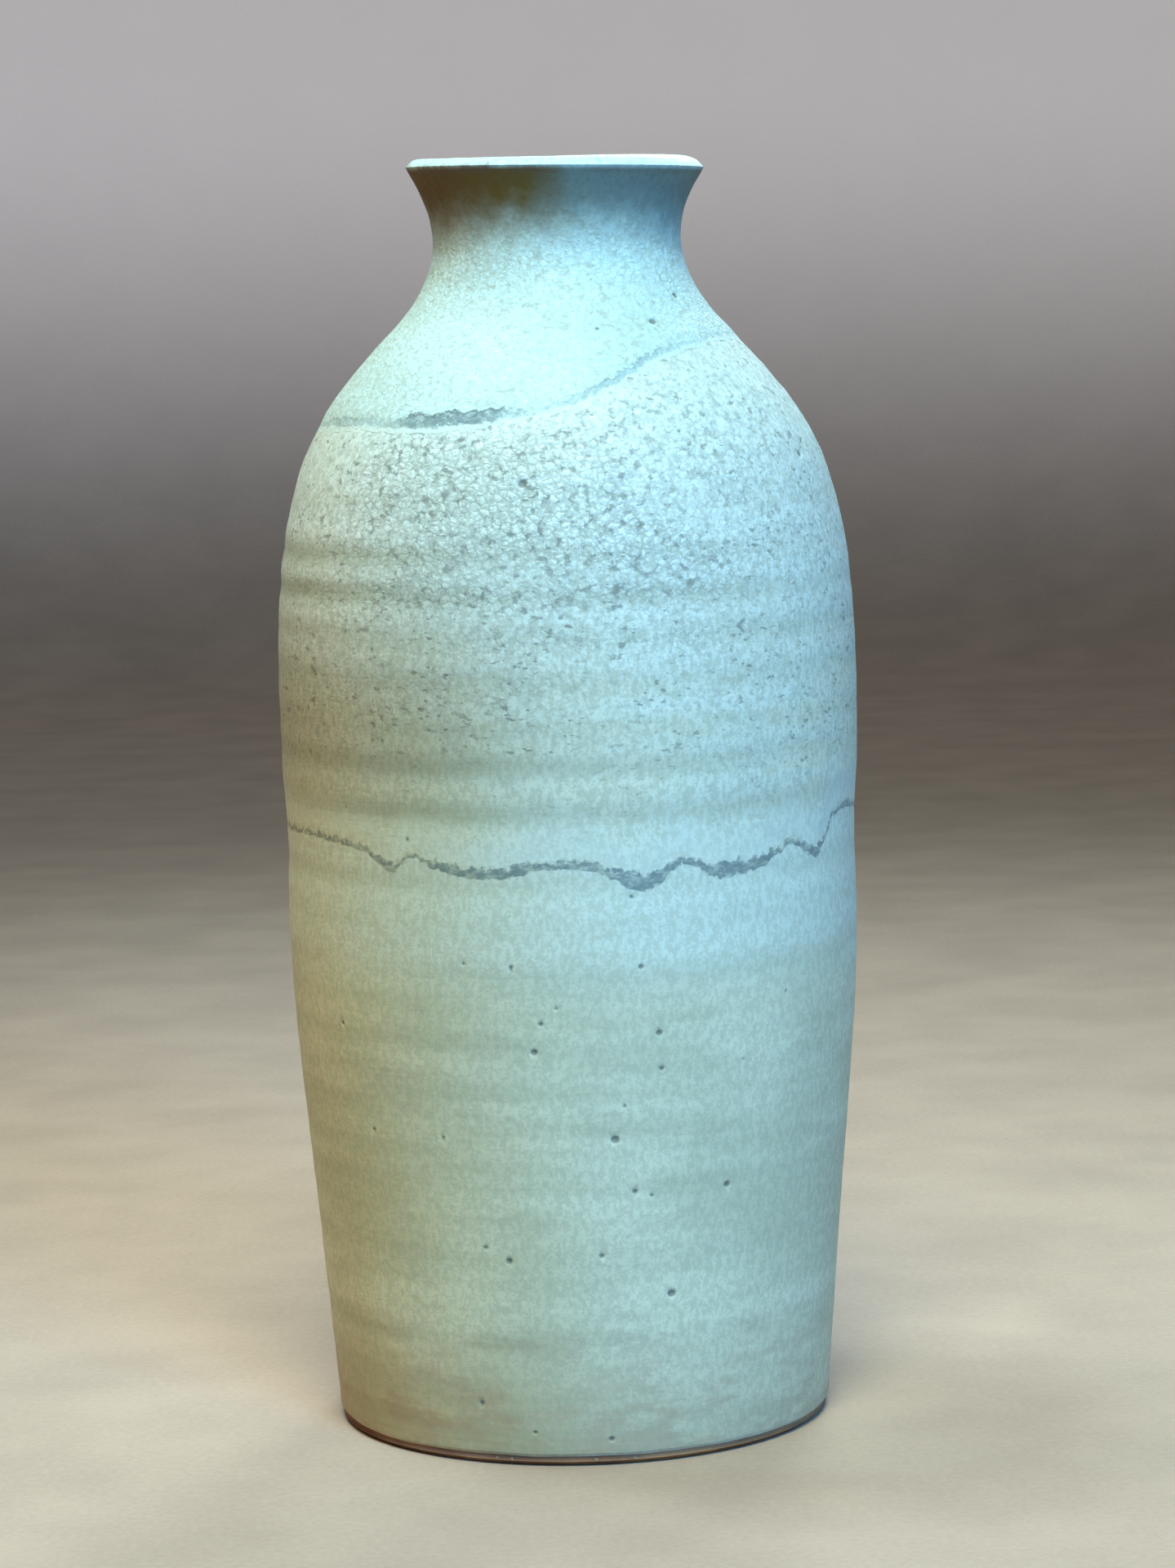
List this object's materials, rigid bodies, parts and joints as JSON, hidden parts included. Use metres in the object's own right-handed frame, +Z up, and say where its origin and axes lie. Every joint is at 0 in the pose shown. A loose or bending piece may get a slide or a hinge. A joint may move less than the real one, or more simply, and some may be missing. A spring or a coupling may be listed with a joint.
{
  "type": "stoneware bottle vase",
  "caption": "Wheel-thrown stoneware bottle vase with a satin blue-green glaze, round shoulder, short neck and flared lip. It stands on a flat foot and holds stems.",
  "frame": {"origin": "centre of the foot ring's flat face, on the surface that the vase stands on", "axes": "+Z up along the wheel's axis, out of the mouth; -Y towards the front of the vase"},
  "size_m": [0.116, 0.116, 0.2539],
  "materials": {
    "stoneware": "bare fired clay, matt, with fine trimming marks",
    "liner_glaze": "smooth satin glaze on the inside",
    "base_glaze": "satin, mottled grey-green, with pinholes",
    "second_glaze": "satin, mottled blue-green, fine beads below the shoulder, dark lower edge",
    "neck_glaze": "satin, pale blue, fine orange-peel texture"
  },
  "bodies": {
    "root": {"clay_body": "stoneware", "liner_glaze": "liner_glaze", "base_glaze_coat": "base_glaze", "second_glaze_coat": "second_glaze", "neck_glaze_coat": "neck_glaze"}
  },
  "joints": []
}
